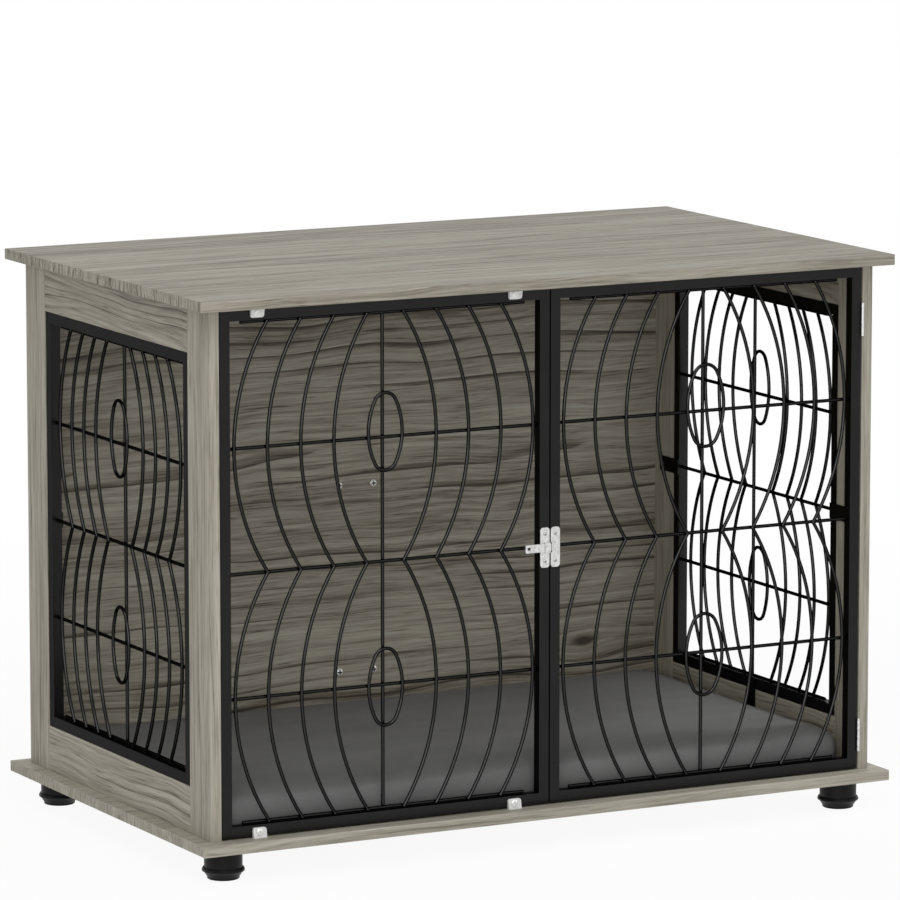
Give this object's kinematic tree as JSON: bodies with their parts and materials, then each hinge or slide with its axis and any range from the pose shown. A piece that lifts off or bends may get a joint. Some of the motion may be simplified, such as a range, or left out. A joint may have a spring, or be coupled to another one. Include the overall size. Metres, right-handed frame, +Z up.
{
  "type": "pet crate",
  "caption": "Furniture-style pet crate: wooden top, base and side frames, black steel wire grilles, a hinged front door with a slide latch, and a floor cushion.",
  "frame": {"origin": "on the floor, under the middle of the crate", "axes": "+X along the crate's width from the fixed panel to the door's hinges, +Y from the front to the back panel, +Z up"},
  "size_m": [1.08, 0.645, 0.797],
  "materials": {
    "wood_laminate": "grey-taupe wood-grain laminate on board, satin",
    "dowel_wood": "plain beech dowel",
    "frame_paint": "charcoal powder coat, satin",
    "wire_paint": "black powder coat, low gloss",
    "zinc_plate": "bright zinc-plated pressed steel",
    "screw_steel": "zinc-plated steel",
    "clip_plastic": "white moulded plastic",
    "foot_plastic": "black moulded plastic, fine texture",
    "cushion_fabric": "grey short-pile fabric over soft filling"
  },
  "bodies": {
    "crate": {"back_left_foot": "foot_plastic", "back_panel": "wood_laminate", "back_panel_screws": "screw_steel", "back_right_foot": "foot_plastic", "base_board": "wood_laminate", "batten_screws": "screw_steel", "board_dowels": "dowel_wood", "clip_screws": "screw_steel", "cushion": "cushion_fabric", "fixed_panel_bottom_tube": "frame_paint", "fixed_panel_left_tube": "frame_paint", "fixed_panel_right_tube": "frame_paint", "fixed_panel_top_tube": "frame_paint", "fixed_panel_wires": "wire_paint", "foot_screws": "screw_steel", "front_left_foot": "foot_plastic", "front_right_foot": "foot_plastic", "grille_tab_screws": "screw_steel", "hinge_post_screws": "screw_steel", "latch_plate": "zinc_plate", "latch_plate_screws": "screw_steel", "left_back_stile": "wood_laminate", "left_base_rail": "wood_laminate", "left_front_stile": "wood_laminate", "left_grille_back_tube": "frame_paint", "left_grille_bottom_tube": "frame_paint", "left_grille_front_tube": "frame_paint", "left_grille_tabs": "frame_paint", "left_grille_top_tube": "frame_paint", "left_grille_wires": "wire_paint", "left_top_rail": "wood_laminate", "lower_hinge_pin": "zinc_plate", "lower_hinge_post_leaf": "zinc_plate", "panel_clips": "clip_plastic", "rail_dowels": "dowel_wood", "rear_batten": "wood_laminate", "right_back_stile": "wood_laminate", "right_base_rail": "wood_laminate", "right_front_stile": "wood_laminate", "right_grille_back_tube": "frame_paint", "right_grille_bottom_tube": "frame_paint", "right_grille_front_tube": "frame_paint", "right_grille_tabs": "frame_paint", "right_grille_top_tube": "frame_paint", "right_grille_wires": "wire_paint", "right_top_rail": "wood_laminate", "top_board": "wood_laminate", "upper_hinge_pin": "zinc_plate", "upper_hinge_post_leaf": "zinc_plate"},
    "door": {"door_bottom_tube": "frame_paint", "door_left_tube": "frame_paint", "door_right_tube": "frame_paint", "door_top_tube": "frame_paint", "door_wires": "wire_paint", "hinge_door_screws": "screw_steel", "latch_keeper": "zinc_plate", "latch_keeper_screws": "screw_steel", "lower_hinge_door_leaf": "zinc_plate", "upper_hinge_door_leaf": "zinc_plate"},
    "latch_bolt": {"latch_bolt": "zinc_plate"}
  },
  "joints": [
    {"name": "door_hinge", "type": "hinge", "parent": "crate", "child": "door", "pos_m": [0.50125, -0.30005, 0.41975], "axis": [0, 0, 1], "range_deg": [0, 180]},
    {"name": "latch_slide", "type": "slide", "parent": "crate", "child": "latch_bolt", "axis": [1, 0, 0], "range_m": [0, 0.012]}
  ]
}
